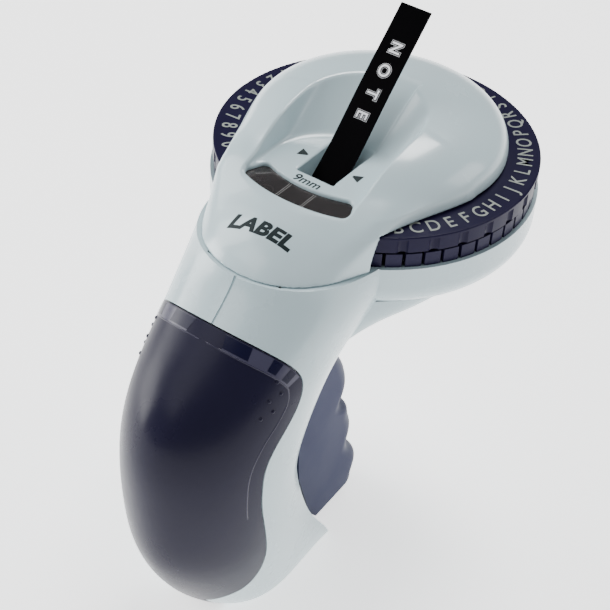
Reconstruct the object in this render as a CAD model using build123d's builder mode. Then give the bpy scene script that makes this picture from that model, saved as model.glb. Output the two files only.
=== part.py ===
"""Hand-held embossing label maker: a turning letter dial on top of an upright squeeze grip.

The origin is the centre of the flat foot's face, +X points to the front (away from the grip's
door), +Y to the left and +Z up.  All lengths are in millimetres.  Most features are placed from the
dial: its axis is vertical and its top face is horizontal, so "dial frame" below means an origin at
the centre of the dial's top face, with the same directions.
"""
from build123d import *
from math import cos, pi, radians, sin
import os

os.makedirs("parts", exist_ok=True)

# ---------------------------------------------------------------- driving dimensions
dial_x = 46.0             # dial axis ahead of the foot's centre
dial_z = 116.0            # dial's top face above the foot
wall = 2.0                # moulded wall of the covers

characters = 54           # letters, digits and signs round the dial
rim_grips = 34            # shallow finger grips round its rim
dial_radius = 43.0
dial_height = 4.4         # upper, grooved tier of the rim
tier_gap = 0.8            # the tape runs through this gap
wheel_radius = 42.6
wheel_height = 3.9        # lower tier of the rim, split into die fingers
ring_inner = 31.2         # root circle of the internal teeth
slit_width = 0.9
slit_inner = 36.6
teeth = 54                # internal teeth of both rings
pinion_teeth = 9
mesh_radius = 30.0        # pitch circle of the internal teeth
ring_tooth = (2.2, 2.5)    # base width and height of an internal tooth
pinion_tooth = (2.1, 2.2)

dome_radius = 34.3
dome_height = 14.4
bowl_radius = 43.6
bowl_top = -9.2
bowl_depth = 13.8
bowl_round = 7.5
seam = -8.9               # top cover's lower edge

tape_width = 9.0
tape_thickness = 0.35
tape_z = -4.8             # tape's level between the two tiers
feed_step = 4.0           # tape moved by one squeeze

trigger_pivot = (-38.0, -31.0)
trigger_half_width = 10.4
hammer_pivot = (-52.0, -24.0)
punch_x = -39.6
feed_centre = (-46.9, -13.7)
feed_radius = 4.5
press_centre = (-51.72, -8.72)
press_radius = 1.8
spool_centre = (-75.0, -62.0)
roll_radius = 15.0
hinge_centre = (-66.5, -112.5)
pinion_centre_x = mesh_radius - mesh_radius * pinion_teeth / teeth

# ---------------------------------------------------------------- work planes
top_plane = Plane((dial_x, 0, dial_z))
side_plane = Plane((dial_x, 0, dial_z), x_dir=(1, 0, 0), z_dir=(0, -1, 0))


def level(height):
    """Horizontal plane at a height of the dial frame."""
    return top_plane.offset(height)


def slice_at(y):
    """Upright plane, seen from the right, at a distance y to the left of the middle."""
    return side_plane.offset(-y)


# ---------------------------------------------------------------- grip outline
# height, back, widest place, half width, front, front half width, roundness of the back
grip_sections = [
    (seam, -60.3, -34.0, 25.5, -6.0, 24.6, 0.707),
    (-18.5, -69.4, -40.0, 24.6, -7.0, 23.5, 0.715),
    (-24.0, -75.8, -44.0, 23.4, -15.0, 21.5, 0.725),
    (-31.0, -83.6, -49.0, 22.3, -29.5, 18.6, 0.735),
    (-40.0, -90.6, -54.0, 21.6, -40.2, 17.4, 0.745),
    (-50.0, -93.8, -58.5, 21.3, -47.8, 17.2, 0.749),
    (-60.0, -94.4, -61.0, 21.0, -52.5, 17.0, 0.749),
    (-72.0, -94.0, -60.5, 20.5, -52.3, 16.6, 0.749),
    (-84.0, -92.2, -58.0, 19.8, -48.7, 16.4, 0.749),
    (-94.0, -88.4, -54.5, 18.8, -44.4, 16.2, 0.752),
    (-103.0, -83.4, -51.5, 17.8, -39.0, 16.0, 0.755),
    (-110.0, -78.4, -49.5, 16.8, -34.2, 15.8, 0.76),
    (-114.0, -74.6, -48.0, 16.0, -31.8, 15.4, 0.765),
    (-116.0, -71.8, -47.0, 15.4, -30.6, 15.0, 0.765),
]
# height, centre, half length and half width of the throat's level sections
throat_sections = [(-15.0, -5.0, 36.5, 37.5), (-21.5, -9.0, 34.0, 35.5), (-27.0, -20.0, 25.0, 29.0),
                   (-31.5, -32.0, 15.5, 22.0), (-35.0, -42.0, 8.0, 18.0)]


def grip_solid(inset):
    """Grip envelope, lofted through its level sections; inset moves its faces inwards."""
    with BuildPart(mode=Mode.PRIVATE) as envelope:
        for height, back, widest, half, front, front_half, roundness in grip_sections:
            reach = widest - back - inset
            width = half - inset
            nose = min(front_half - inset, width - 0.3)
            with BuildSketch(level(height)):
                with BuildLine():
                    Spline(
                        (front - inset, nose),
                        (widest, width),
                        (widest - roundness * reach, roundness * width),
                        (back + inset, 0),
                        (widest - roundness * reach, -roundness * width),
                        (widest, -width),
                        (front - inset, -nose),
                    )
                    Line((front - inset, -nose), (front - inset, nose))
                make_face()
        loft()
    return envelope.part


def grip_hollow():
    """Room inside the grip's walls, down to the floor of its foot."""
    with BuildPart(mode=Mode.PRIVATE) as room:
        add(grip_solid(wall))
        split(bisect_by=level(grip_sections[-1][0] + wall), keep=Keep.TOP)
    return room.part


def bowl_solid(inset):
    """Shallow round tray under the dial."""
    radius = bowl_radius - inset
    bottom = bowl_top - bowl_depth + inset
    corner = bowl_round - inset
    with BuildPart(mode=Mode.PRIVATE) as tray:
        with BuildSketch(side_plane):
            with BuildLine():
                Polyline((0, bowl_top), (radius, bowl_top), (radius, bottom + corner))
                RadiusArc((radius, bottom + corner), (radius - corner, bottom), corner)
                Polyline((radius - corner, bottom), (0, bottom), (0, bowl_top))
            make_face()
        revolve(axis=Axis((dial_x, 0, 0), (0, 0, 1)))
    return tray.part


def throat_solid(inset):
    """Smooth passage from the tray's underside into the grip."""
    with BuildPart(mode=Mode.PRIVATE) as passage:
        for height, centre, half_length, half_width in throat_sections:
            with BuildSketch(level(height + inset * 0.6)):
                with Locations((centre, 0)):
                    Ellipse(half_length - inset, half_width - inset)
        loft()
    return passage.part


def prism(points, y_from, y_to):
    """Solid with an upright outline in the dial frame, between two distances to the left."""
    with BuildPart(mode=Mode.PRIVATE) as block:
        with BuildSketch(slice_at(y_from)):
            with BuildLine():
                Polyline(*points, close=True)
            make_face()
        extrude(amount=-(y_to - y_from))
    return block.part


def rod(centre, radius, y_from, y_to):
    """Round bar across the object, at an upright-plane centre in the dial frame."""
    with BuildPart(mode=Mode.PRIVATE) as bar:
        with BuildSketch(slice_at(y_from)):
            with Locations(centre):
                Circle(radius)
        extrude(amount=-(y_to - y_from))
    return bar.part


def post(x, y, radius, z_from, z_to):
    """Upright round bar in the dial frame."""
    with BuildPart(mode=Mode.PRIVATE) as bar:
        with BuildSketch(level(z_from)):
            with Locations((x, y)):
                Circle(radius)
        extrude(amount=z_to - z_from)
    return bar.part


def disc(radius, z_from, z_to):
    """Round plate on the dial's axis."""
    return post(0, 0, radius, z_from, z_to)


def save(node, name):
    """Label a finished piece and write it."""
    node.part.label = name
    export_step(node.part, f"parts/{name}.step")


# ---------------------------------------------------------------- shared cutters
# side view of the door's edge, from the top corner to where it follows a circle round the hinge
door_edge = [
    (-69.3, -18.2), (-63.6, -24.4), (-60.9, -30.2), (-61.9, -35.6), (-65.6, -40.6), (-70.4, -45.4),
    (-73.6, -50.6), (-74.6, -57.0), (-74.4, -63.5), (-73.0, -71.0), (-70.9, -80.0), (-69.7, -88.0),
    (-70.4, -94.5), (-72.6, -99.2),
]
door_turn_radius = 14.0


def door_zone(margin):
    """Everything behind the door's side edge; margin moves the edge forward."""
    radius = door_turn_radius - margin
    arc = [
        (hinge_centre[0] + radius * cos(radians(angle)), hinge_centre[1] + radius * sin(radians(angle)))
        for angle in (122, 152, 182)
    ]
    with BuildPart(mode=Mode.PRIVATE) as zone:
        with BuildSketch(slice_at(-40)):
            with BuildLine():
                start = (door_edge[0][0] + margin * 0.7, door_edge[0][1] + margin * 0.7)
                Spline(start, *[(x + margin, z) for x, z in door_edge[1:]], arc[0])
                ThreePointArc(*arc)
                Polyline(arc[2], (-110, arc[2][1]), (-110, start[1] + 60), start)
            make_face()
        extrude(amount=-80)
    return zone.part


# ---------------------------------------------------------------- body shells
# trigger opening between the two flanks, open to the front and below
trigger_slot = [
    (-20.0, -25.0), (-44.0, -37.5), (-50.0, -46.0), (-56.0, -60.0), (-54.0, -84.0), (-53.5, -104.0),
    (-52.0, -113.2), (-42.6, -113.4), (-41.0, -120.0), (20.0, -120.0), (20.0, -25.0),
]
trigger_head = [(-20.0, -25.0), (-44.0, -37.5), (-50.0, -46.0), (20.0, -46.0), (20.0, -25.0)]
# well through the tray's floor for the punch, the hammer and the feed roller
neck_well = [(-56.5, -8.0), (-63.0, -20.0), (-70.0, -33.0), (-50.0, -42.0), (-25.5, -33.0), (-25.5, -8.0)]
cheek_well = [
    (-53.5, -8.0), (-55.8, -14.0), (-58.0, -22.0), (-62.0, -33.0), (-50.0, -42.0), (-25.5, -33.0),
    (-25.5, -8.0),
]
screw_places = [(-52.5, -38.0), (-58.5, -99.8)]
screw_reaches = [20.2, 16.8]
hinge_block = [(-70.5, -112.6), (-62.0, -115.8), (-60.0, -108.0), (-69.0, -107.0)]
tab_notch = [(-100.0, -98.0), (-70.0, -98.0), (-62.0, -109.0), (-62.0, -120.0), (-100.0, -120.0)]
screw_radius = 1.25
post_radius = 3.2
spool_post_radius = 2.9

with BuildPart() as hinge_bearings:
    add(prism(hinge_block, 7.3, 10.4))
    add(prism(hinge_block, -10.4, -7.3))
    add(grip_solid(0.2), mode=Mode.INTERSECT)

# shallow groove where the two halves meet
with BuildPart() as parting_groove:
    add(prism([(-100.0, seam + 1), (50.0, seam + 1), (50.0, -120.0), (-100.0, -120.0)], -0.3, 0.3))
    for envelope in (grip_solid, bowl_solid, throat_solid):
        add(envelope(0.45), mode=Mode.SUBTRACT)

with BuildPart() as body:
    add(grip_solid(0))
    add(bowl_solid(0))
    add(throat_solid(0))
    add(grip_hollow(), mode=Mode.SUBTRACT)
    add(bowl_solid(wall), mode=Mode.SUBTRACT)
    add(throat_solid(wall), mode=Mode.SUBTRACT)
    # floor of the tray across the neck, with the well through it
    add(disc(bowl_radius - bowl_round, bowl_top - bowl_depth, bowl_top - bowl_depth + wall))
    add(prism(neck_well, -11.2, 11.2), mode=Mode.SUBTRACT)
    add(prism(cheek_well, -13.0, 13.0), mode=Mode.SUBTRACT)
    # room for the dial and its rim
    add(disc(bowl_radius - wall, bowl_top - bowl_depth + wall, seam + 1), mode=Mode.SUBTRACT)
    add(disc(bowl_radius, bowl_top, seam + 1), mode=Mode.SUBTRACT)
    # screw posts of the two halves, post of the tape spool
    for place, reach in zip(screw_places, screw_reaches):
        add(rod(place, post_radius, -reach, reach))
    add(rod(spool_centre, spool_post_radius, 4.9, 19.6))
    # bearing blocks of the door's hinge
    add(hinge_bearings.part)
    add(rod(hinge_centre, 1.25, -9.6, 9.6), mode=Mode.SUBTRACT)
    # door and trigger openings
    add(door_zone(0.35), mode=Mode.SUBTRACT)
    add(prism(tab_notch, -7.3, 7.3), mode=Mode.SUBTRACT)
    add(prism(trigger_slot, -11.2, 11.2), mode=Mode.SUBTRACT)
    add(prism(trigger_head, -12.2, 12.2), mode=Mode.SUBTRACT)
    for place, reach in zip(screw_places, screw_reaches):
        add(rod(place, screw_radius, -12.6, 24.0), mode=Mode.SUBTRACT)
        add(rod(place, 2.6, reach - 2.0, 30.0), mode=Mode.SUBTRACT)

    add(parting_groove.part, mode=Mode.SUBTRACT)

joint_gap = 0.03
with BuildPart() as right_shell:
    add(body.part)
    split(bisect_by=Plane.XZ.offset(joint_gap), keep=Keep.TOP)
with BuildPart() as left_shell:
    add(body.part)
    split(bisect_by=Plane.XZ.offset(-joint_gap), keep=Keep.BOTTOM)
save(right_shell, "right_shell")
save(left_shell, "left_shell")

# ---------------------------------------------------------------- top cover
scoop_back = -46.0
scoop_floor = 3.0
dome_profile = [(0, 1.0), (0.35, 0.974), (0.64, 0.865), (0.86, 0.649), (0.968, 0.381), (1.0, 0)]


def dome_solid(inset):
    """Full, flat-topped dome over the middle of the dial."""
    radius = dome_radius - inset
    height = dome_height - inset
    points = [(radius * r, height * h) for r, h in dome_profile]
    with BuildPart(mode=Mode.PRIVATE) as dome:
        with BuildSketch(side_plane):
            with BuildLine():
                Spline(*points, tangents=[(1, 0), (0, -1)])
                Polyline(points[-1], (radius, -1.0), (0, -1.0), points[0])
            make_face()
        revolve(axis=Axis((dial_x, 0, 0), (0, 0, 1)))
    return dome.part


# level outlines of the neck's cover: half of each, from the front to the middle of the back
cap_outlines = [
    (seam, [(-6.0, 34.5), (-20.0, 31.5), (-38.5, 24.9), (-53.0, 18.0), (-58.6, 9.0), (-60.3, 0)]),
    (0.0, [(-6.0, 33.5), (-20.0, 29.5), (-34.5, 23.0), (-47.0, 18.0), (-55.4, 9.0), (-57.5, 0)]),
    (3.5, [(-6.0, 32.8), (-19.0, 28.6), (-35.0, 20.8), (-44.0, 16.5), (-51.6, 8.5), (-54.0, 0)]),
    (8.0, [(-6.0, 28.5), (-16.0, 23.5), (-30.0, 17.5), (-38.0, 13.5), (-43.5, 7.5), (-45.5, 0)]),
    (12.0, [(-4.0, 19.0), (-12.0, 16.5), (-22.0, 12.5), (-29.0, 9.0), (-33.0, 5.0), (-35.0, 0)]),
]


def neck_cap(inset):
    """Cover of the neck: a drafted outline under a crowned back."""
    with BuildPart(mode=Mode.PRIVATE) as cap:
        for height, outline in cap_outlines:
            with BuildSketch(level(height)):
                with BuildLine():
                    side = [(x + inset * 0.5, y - inset) for x, y in outline[:-1]]
                    back = (outline[-1][0] + inset, 0)
                    Spline(*side, back, *[(x, -y) for x, y in reversed(side)])
                    Line((side[0][0], -side[0][1]), side[0])
                make_face()
        loft()
        with BuildSketch(slice_at(-40)):
            with BuildLine():
                Spline(
                    (-64.0 + inset, -13.0 - inset), (-60.3 + inset * 0.6, -8.9 - inset * 0.6),
                    (-51.2, -1.0 - inset), (-44.0, 2.0 - inset), (-38.0, 3.9 - inset),
                    (-30.0, 6.4 - inset), (-20.0, 9.2 - inset), (-8.0, 11.6 - inset),
                )
                Polyline((-8.0, 11.6 - inset), (-8.0, -14.0 - inset), (-64.0 + inset, -13.0 - inset))
            make_face()
        extrude(amount=-80, mode=Mode.INTERSECT)
    return cap.part


def scoop_solid(margin):
    """Scoop in the dome, open to the back; margin makes it larger for its outer wall."""
    with BuildPart(mode=Mode.PRIVATE) as scoop:
        for height, half, front in ((scoop_floor - margin, 15.6 + margin, -8.6 + margin),
                                    (9.5, 16.4 + margin, 3.2 + margin),
                                    (16.0, 17.2 + margin, 13.5 + margin)):
            with BuildSketch(level(height)):
                with BuildLine():
                    Line((scoop_back, half), (front - half, half))
                    ThreePointArc((front - half, half), (front, 0), (front - half, -half))
                    Polyline((front - half, -half), (scoop_back, -half), (scoop_back, half))
                make_face()
        loft(ruled=True)
    return scoop.part


slot_half = 5.6
slot_front = -9.0
slot_back = -28.4
window_inner = 33.0
window_outer = 40.3
window_angle = 24.0


def arc_band(inner, outer, half_angle, z_from, z_to):
    """Block between two circles round the dial's axis, centred on the back."""
    with BuildPart(mode=Mode.PRIVATE) as band:
        with BuildSketch(level(z_from)):
            with BuildLine():
                ends = [radians(180 - half_angle), radians(180 + half_angle)]
                outer_ends = [(outer * cos(a), outer * sin(a)) for a in ends]
                inner_ends = [(inner * cos(a), inner * sin(a)) for a in ends]
                ThreePointArc(outer_ends[0], (-outer, 0), outer_ends[1])
                Line(outer_ends[1], inner_ends[1])
                ThreePointArc(inner_ends[1], (-inner, 0), inner_ends[0])
                Line(inner_ends[0], outer_ends[0])
            make_face()
        extrude(amount=z_to - z_from)
    return band.part


with BuildPart() as hollow:
    add(dome_solid(wall))
    add(neck_cap(wall))
    add(scoop_solid(wall), mode=Mode.SUBTRACT)

with BuildPart() as top_cover:
    add(dome_solid(0))
    add(neck_cap(0))
    add(hollow.part, mode=Mode.SUBTRACT)
    add(scoop_solid(0), mode=Mode.SUBTRACT)
    # the dial turns below the cover; a rib centres the dial
    add(disc(bowl_radius - 0.1, -20, 0.45), mode=Mode.SUBTRACT)
    with BuildSketch(level(-0.8)):
        Circle(34.0)
        Circle(32.5, mode=Mode.SUBTRACT)
    extrude(amount=1.5)
    add(arc_band(20, 44.5, 42, -6, 0.45), mode=Mode.SUBTRACT)
    # label slot, and its channel up the scoop's front wall
    add(prism([(slot_back, -2.0), (slot_front, -2.0), (slot_front, 3.0), (12.5, 14.9), (12.5, 20.0),
               (-14.0, 20.0), (slot_back, 8.0)], -slot_half, slot_half), mode=Mode.SUBTRACT)
    add(arc_band(window_inner, window_outer, window_angle, -2, 6), mode=Mode.SUBTRACT)
    # boss and bore of the pinion's shaft
    add(post(pinion_centre_x, 0, 2.6, 1.2, 10.2))
    add(post(pinion_centre_x, 0, 1.25, -1.0, 8.2), mode=Mode.SUBTRACT)
save(top_cover, "top_cover")

# ---------------------------------------------------------------- window lens
with BuildPart() as window_lens:
    add(arc_band(window_inner + 0.06, window_outer - 0.06, window_angle - 0.1, 0.5, 1.9))
save(window_lens, "window_lens")

# ---------------------------------------------------------------- dial and die wheel


def ring_of_teeth(z_from, z_to):
    """Internal gear teeth of a ring, pointing to the axis."""
    with BuildPart(mode=Mode.PRIVATE) as ring:
        with BuildSketch(level(z_from)):
            Circle(ring_inner + 1.6)
            Circle(ring_inner - 0.02, mode=Mode.SUBTRACT)
            with PolarLocations(mesh_radius + 0.55, teeth, start_angle=180 / teeth):
                Trapezoid(*ring_tooth, 78, rotation=90)
        extrude(amount=z_to - z_from)
    return ring.part


tier_bottom = -dial_height - tier_gap
wheel_bottom = tier_bottom - wheel_height
web_top = wheel_bottom + 1.5

with BuildPart() as letter_dial:
    with BuildSketch(level(-dial_height)):
        Circle(dial_radius)
        Circle(37.6, mode=Mode.SUBTRACT)
    extrude(amount=dial_height)
    with BuildSketch(level(-3.2)):
        Circle(38.6)
        Circle(ring_inner + 0.6, mode=Mode.SUBTRACT)
    extrude(amount=3.2)
    add(ring_of_teeth(-3.2, -0.9))
    # groove for the cover's rib
    with BuildSketch(level(-1.1)):
        Circle(34.3)
        Circle(ring_inner - 3, mode=Mode.SUBTRACT)
    extrude(amount=2, mode=Mode.SUBTRACT)
    # shallow finger grips round the rim
    with BuildSketch(level(-dial_height - 1)):
        with PolarLocations(dial_radius + 1.05, rim_grips):
            Circle(1.75)
    extrude(amount=dial_height + 0.2, mode=Mode.SUBTRACT)
    top_circles = letter_dial.edges().filter_by(GeomType.CIRCLE).group_by(Axis.Z)[-1]
    fillet(top_circles.sort_by(SortBy.RADIUS)[-1:], 0.35)
save(letter_dial, "letter_dial")

with BuildPart() as die_wheel:
    with BuildSketch(level(wheel_bottom)):
        Circle(wheel_radius)
    extrude(amount=web_top - wheel_bottom)
    with BuildSketch(level(wheel_bottom)):
        Circle(wheel_radius)
        Circle(36.2, mode=Mode.SUBTRACT)
    extrude(amount=wheel_height)
    add(ring_of_teeth(web_top - 0.5, tier_bottom))
    with BuildSketch(level(wheel_bottom - 4.5)):
        Circle(7.5)
    extrude(amount=4.6)
    # slits between the die fingers
    with BuildSketch(level(wheel_bottom - 0.5)):
        with PolarLocations((slit_inner + wheel_radius + 1) / 2, characters, start_angle=180 / characters):
            Rectangle(wheel_radius + 1 - slit_inner, slit_width)
    extrude(amount=wheel_height + 1, mode=Mode.SUBTRACT)
    with BuildSketch(level(wheel_bottom - 5)):
        Circle(4.06)
    extrude(amount=20, mode=Mode.SUBTRACT)
save(die_wheel, "die_wheel")

# embossing dies, one on each finger, facing down from the dial and up from the wheel
with BuildPart() as embossing_dies:
    with BuildSketch(level(tier_bottom)):
        with PolarLocations(40.0, characters):
            Rectangle(2.6, 2.0)
    extrude(amount=0.12)
save(embossing_dies, "embossing_dies")

blade_angle = -40.0
with BuildPart() as cutter_blade:
    with BuildSketch(level(-3.2 - 0.95)):
        with Locations(Location((0, 0, 0), (0, 0, blade_angle))):
            with Locations((35.2, 0)):
                Rectangle(4.2, 0.8)
    extrude(amount=0.93)
save(cutter_blade, "cutter_blade")

with BuildPart() as sync_pinion:
    with BuildSketch(level(wheel_bottom + 1.9)):
        with Locations((pinion_centre_x, 0)):
            Circle(3.95)
            with PolarLocations(4.9, pinion_teeth):
                Trapezoid(*pinion_tooth, 72, rotation=-90)
    extrude(amount=-1.2 - (wheel_bottom + 1.9))
    with BuildSketch(level(wheel_bottom)):
        with Locations((pinion_centre_x, 0)):
            Circle(1.3)
    extrude(amount=12, mode=Mode.SUBTRACT)
save(sync_pinion, "sync_pinion")

with BuildPart() as pinion_shaft:
    add(post(pinion_centre_x, 0, 1.24, wheel_bottom + 2.1, 8.1))
save(pinion_shaft, "pinion_shaft")

# ---------------------------------------------------------------- base frame and dial axle
plate_bottom = bowl_top - bowl_depth + wall + 0.4
plate_top = plate_bottom + 1.4
cheek_inner = 10.6
cheek_outer = 11.9
cheek_outline = [
    (-55.0, -14.5), (-51.2, -9.9), (-31.0, -9.9), (-26.5, -19.5), (-28.5, -24.5), (-34.0, -34.0),
    (-41.5, -35.5), (-54.5, -28.0),
]
punch_radius = 2.2
pin_radius = 1.5

with BuildPart() as base_frame:
    add(disc(35.6, plate_bottom, plate_top))
    with BuildSketch(level(plate_bottom)):
        with PolarLocations(25.0, 6, start_angle=30):
            Circle(6.0)
    extrude(amount=1.4, mode=Mode.SUBTRACT)
    bridge = [(-44.0, plate_bottom), (-36.8, plate_bottom), (-36.8, plate_top), (-44.0, plate_top)]
    add(prism(bridge, -11, 11))
    for side in (-1, 1):
        y_from, y_to = sorted((side * cheek_inner, side * cheek_outer))
        add(prism(cheek_outline, y_from, y_to))
        for place, radius in ((trigger_pivot, 1.99), (hammer_pivot, 1.24), (feed_centre, 1.55),
                              (press_centre, 0.99)):
            add(rod(place, radius, y_from - 1, y_to + 1), mode=Mode.SUBTRACT)
    add(post(punch_x, 0, punch_radius + 0.06, plate_bottom - 1, plate_top + 1), mode=Mode.SUBTRACT)
    add(post(0, 0, 2.5, plate_bottom - 1, plate_top + 1), mode=Mode.SUBTRACT)
save(base_frame, "base_frame")

axle_top = web_top + 1.4
with BuildPart() as dial_axle:
    add(post(0, 0, 6.5, plate_top, wheel_bottom - 4.8))
    add(post(0, 0, 4.0, wheel_bottom - 4.8, axle_top))
    add(post(0, 0, 2.5, plate_bottom, plate_top))
    with BuildSketch(level(web_top + 0.15)):
        Circle(4.5)
        Circle(3.2, mode=Mode.SUBTRACT)
    extrude(amount=0.6, mode=Mode.SUBTRACT)
    chamfer(dial_axle.edges().group_by(Axis.Z)[-1], 0.25)
save(dial_axle, "dial_axle")

with BuildPart() as retaining_ring:
    with BuildSketch(level(web_top + 0.2)):
        Circle(5.6)
        Circle(3.2, mode=Mode.SUBTRACT)
        with Locations((4.5, 0)):
            Rectangle(6.0, 2.6, mode=Mode.SUBTRACT)
    extrude(amount=0.5)
save(retaining_ring, "retaining_ring")

# ---------------------------------------------------------------- detent: a sprung ball under the wheel
detent_radius = 38.9
detent_angle = 180 / characters
detent_x = detent_radius * cos(radians(detent_angle))
detent_y = detent_radius * sin(radians(detent_angle))
ball_radius = 1.2
ball_z = wheel_bottom - ball_radius - 0.25
detent_floor = bowl_top - bowl_depth + wall

with BuildPart() as detent_cup:
    with BuildSketch(level(detent_floor)):
        with Locations((detent_x - 0.4, detent_y)):
            Circle(2.3)
    extrude(amount=ball_z - 0.5 - detent_floor)
    with BuildSketch(level(detent_floor + 1.0)):
        with Locations((detent_x - 0.4, detent_y)):
            Circle(1.35)
    extrude(amount=20, mode=Mode.SUBTRACT)
save(detent_cup, "detent_cup")

with BuildPart() as detent_ball:
    with Locations(Location((dial_x + detent_x - 0.4, detent_y, dial_z + ball_z))):
        Sphere(ball_radius)
save(detent_ball, "detent_ball")


def coil_spring(x, y, z_from, z_to, radius, wire, turns):
    """Round-wire compression spring standing upright in the dial frame."""
    height = z_to - z_from - wire
    with BuildPart(mode=Mode.PRIVATE) as coil:
        start = Vector(dial_x + x, y, dial_z + z_from + wire / 2)
        with BuildLine():
            path = Helix(pitch=height / turns, height=height, radius=radius, center=start)
        with BuildSketch(Plane(path @ 0, z_dir=path % 0)):
            Circle(wire / 2)
        sweep(path=path, is_frenet=True)
    return coil.part


with BuildPart() as detent_spring:
    add(coil_spring(detent_x - 0.4, detent_y, detent_floor + 1.02, ball_z - ball_radius - 0.05, 0.9, 0.3, 7))
save(detent_spring, "detent_spring")

# ---------------------------------------------------------------- trigger
trigger_front = [
    (-25.0, -44.5), (-23.4, -50.0), (-24.2, -53.2), (-20.2, -58.2), (-17.6, -64.4), (-17.4, -68.6),
    (-19.0, -72.2), (-15.2, -78.6), (-12.9, -85.2), (-12.9, -90.0), (-13.7, -94.2), (-10.0, -99.6),
    (-8.0, -104.6), (-9.2, -108.4),
]
trigger_top = (-27.5, -36.5)
trigger_back = [
    (-31.0, -112.2), (-34.5, -108.0), (-41.5, -88.0), (-43.4, -70.0), (-42.0, -52.0), (-41.5, -40.5),
]
trigger_corner = 6.2
trigger_depth = 60.0

# head of the trigger, above its first scallop
with BuildPart() as trigger_block:
    with BuildSketch(level(trigger_front[0][1] - 1)):
        with Locations((trigger_front[0][0] - trigger_depth / 2, 0)):
            RectangleRounded(trigger_depth, 2 * trigger_half_width, trigger_corner)
    extrude(amount=10)

# level sections with rounded front corners, following the scallops
with BuildPart() as scalloped_bar:
    for front, height in [*trigger_front, (-12.5, -112.5)]:
        with BuildSketch(level(height)):
            with Locations((front - trigger_depth / 2, 0)):
                RectangleRounded(trigger_depth, 2 * trigger_half_width, trigger_corner)
    loft()

with BuildPart() as trigger:
    add(scalloped_bar.part)
    add(trigger_block.part)
    add(prism([(-5.0, -36.5), (-5.0, -109.4), (-12.0, -110.8), *trigger_back, trigger_top],
              -trigger_half_width - 1, trigger_half_width + 1), mode=Mode.INTERSECT)
    # hollow, open to the back
    with BuildSketch(slice_at(-trigger_half_width + 1.8)):
        with BuildLine():
            inner = [(x - 3.4, z) for x, z in trigger_front]
            Spline((-32.5, -44.5), *inner[2:-1], (-12.5, -106.8))
            Polyline((-12.5, -106.8), (-60.0, -106.8), (-60.0, -44.5), (-32.5, -44.5))
        make_face()
    extrude(amount=-2 * (trigger_half_width - 1.8), mode=Mode.SUBTRACT)
    # pivot eyes and the nose that lifts the hammer
    for y_from, y_to in ((-9.9, -5.5), (5.5, 9.9)):
        add(rod(trigger_pivot, 3.4, y_from, y_to))
        add(prism([(-44.2, -33.5), (-44.2, -27.7), (-39.6, -27.7), (-36.0, -31.0)], y_from, y_to))
        add(prism([(-41.4, -31.0), (-34.6, -31.0), (-28.0, -38.5), (-27.5, -44.4), (-41.9, -44.4)],
                  y_from, y_to))
    add(prism([(-38.0, -33.6), (-33.0, -36.4), (-28.5, -40.0), (-28.5, -44.4), (-41.9, -44.4), (-41.9, -38.0),
               (-44.2, -30.0), (-43.9, -26.2), (-41.9, -26.2)], -4.4, 4.4))
    add(rod(trigger_pivot, 2.03, -15, 15), mode=Mode.SUBTRACT)
save(trigger, "trigger")

with BuildPart() as trigger_pin:
    add(rod(trigger_pivot, 1.97, -13.2, 13.2))
    for end in trigger_pin.faces().sort_by(Axis.Y)[0::2]:
        chamfer(end.edges(), 0.3)
save(trigger_pin, "trigger_pin")

# ---------------------------------------------------------------- trigger spring, hammer and punch
spring_x = -42.0
spring_y = 7.7
with BuildPart() as trigger_spring:
    add(coil_spring(spring_x, spring_y, -27.6, plate_bottom - 0.03, 1.4, 0.5, 5))
save(trigger_spring, "trigger_spring")

with BuildPart() as hammer_lever:
    add(rod(hammer_pivot, 2.3, -5.6, 5.6))
    add(prism([(-52.5, -26.1), (-37.4, -25.8), (-37.4, -22.5), (-41.5, -22.3), (-52.0, -21.8)], -4.4, 4.4))
    add(rod(hammer_pivot, 1.28, -12, 12), mode=Mode.SUBTRACT)
save(hammer_lever, "hammer_lever")

with BuildPart() as hammer_pin:
    add(rod(hammer_pivot, 1.23, -13.0, 13.0))
save(hammer_pin, "hammer_pin")

punch_top = wheel_bottom - 2.0
with BuildPart() as punch:
    add(post(punch_x, 0, punch_radius, -22.2, punch_top))
    with BuildSketch(level(punch_top)):
        with Locations((punch_x, 0)):
            Rectangle(2.6, 3.0)
    extrude(amount=0.4)
    fillet(punch.faces().sort_by(Axis.Z)[0].edges(), 0.5)
save(punch, "punch")

# ---------------------------------------------------------------- tape feed
with BuildPart() as feed_roller:
    add(rod(feed_centre, feed_radius, -4.4, 4.4))
    with BuildSketch(slice_at(-5)):
        with Locations(feed_centre):
            with PolarLocations(feed_radius + 0.12, 20):
                Circle(0.32)
    extrude(amount=-10, mode=Mode.SUBTRACT)
    add(rod(feed_centre, 1.5, -5, 5), mode=Mode.SUBTRACT)
save(feed_roller, "feed_roller")

with BuildPart() as feed_axle:
    add(rod(feed_centre, 1.49, -12.8, 12.8))
save(feed_axle, "feed_axle")

ratchet_teeth = 14
with BuildPart() as ratchet_wheel:
    with BuildSketch(slice_at(6.0)):
        with BuildLine():
            points = []
            for tooth in range(ratchet_teeth):
                angle = 2 * pi * tooth / ratchet_teeth
                for reach in (4.2, 3.4):
                    points.append((feed_centre[0] + reach * cos(angle), feed_centre[1] + reach * sin(angle)))
            Polyline(*points, close=True)
        make_face()
    extrude(amount=-1.6)
    add(rod(feed_centre, 1.5, 5, 9), mode=Mode.SUBTRACT)
save(ratchet_wheel, "ratchet_wheel")

with BuildPart() as feed_pawl:
    pawl = [(-52.6, -17.2), (-51.7, -16.0), (-50.9, -15.6), (-51.6, -17.6), (-51.3, -20.5), (-52.6, -20.5)]
    add(prism(pawl, 6.1, 7.5))
    add(rod((-52.0, -21.2), 1.5, 6.1, 7.5))
    add(rod((-52.0, -21.2), 0.84, 5, 9), mode=Mode.SUBTRACT)
save(feed_pawl, "feed_pawl")

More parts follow.
